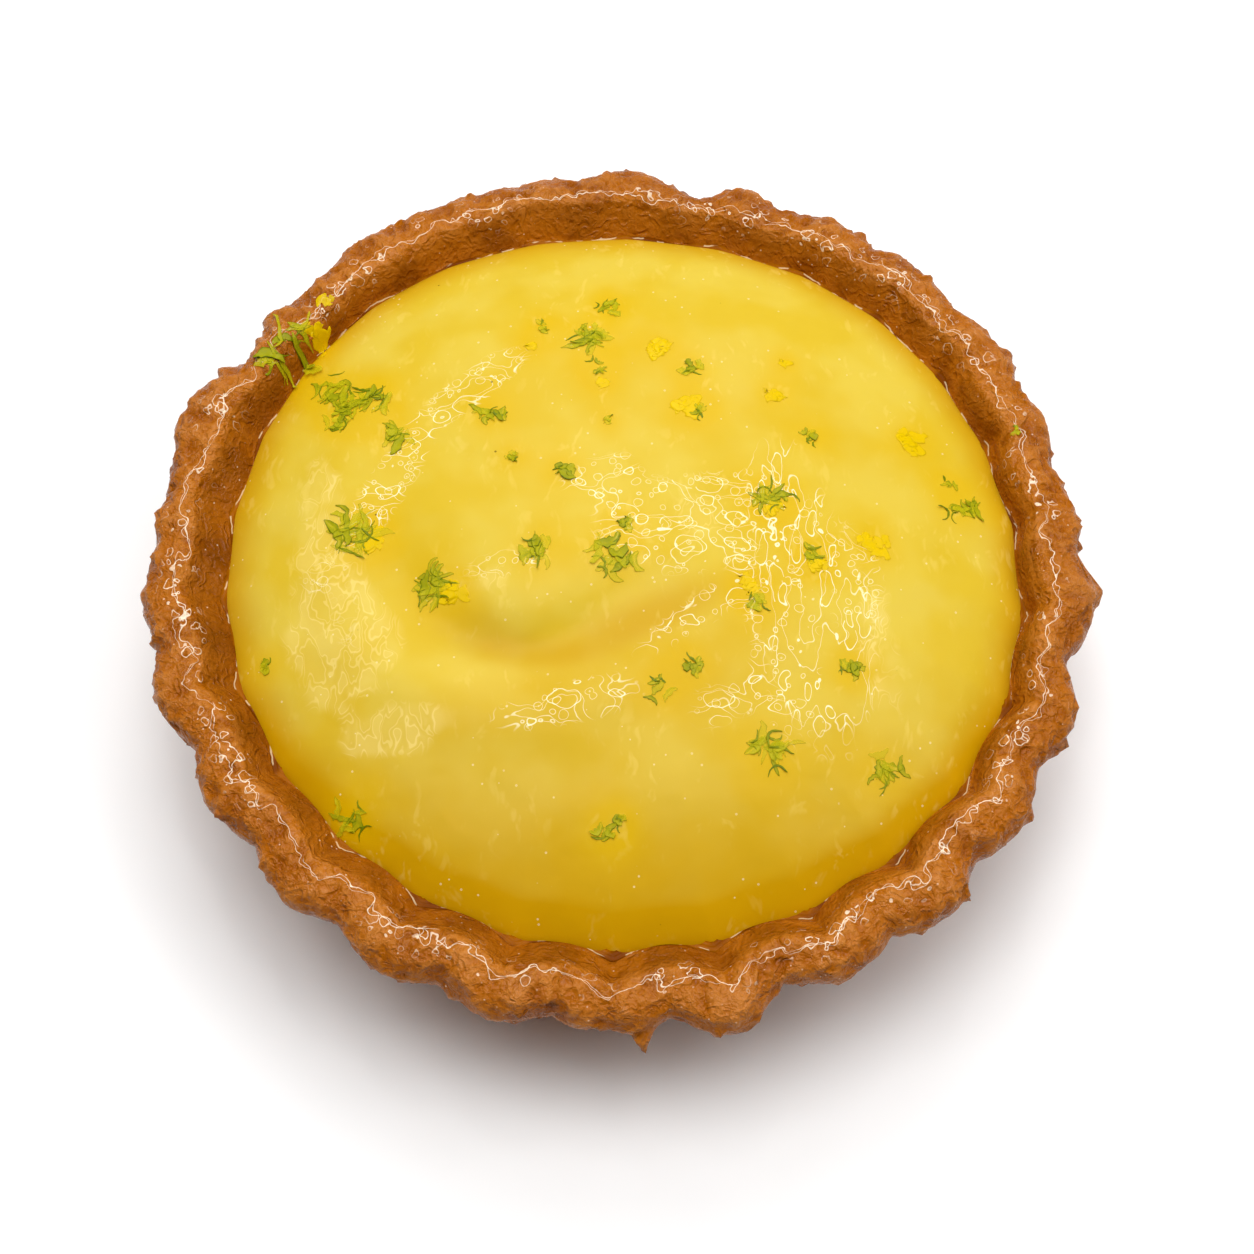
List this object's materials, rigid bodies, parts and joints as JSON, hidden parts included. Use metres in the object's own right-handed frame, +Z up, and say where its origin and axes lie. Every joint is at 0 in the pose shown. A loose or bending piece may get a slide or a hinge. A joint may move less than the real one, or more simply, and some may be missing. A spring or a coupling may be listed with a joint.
{
  "type": "lemon tart",
  "caption": "Lemon tart: a fluted shortcrust shell with an uneven glazed rim, filled with a domed, swirled lemon curd and scattered with shreds of citrus zest.",
  "frame": {"origin": "centre of the underside, on the surface that the tart stands on", "axes": "+Z up out of the filling; the picture's viewer stands at -Y, so -Y is the front and +X is the picture's right"},
  "size_m": [0.0998, 0.1012, 0.0289],
  "materials": {
    "baked_pastry": "glazed",
    "lemon_curd": "gloss"
  },
  "bodies": {
    "root": {"crust": "baked_pastry", "lemon_curd": "lemon_curd"}
  },
  "joints": []
}
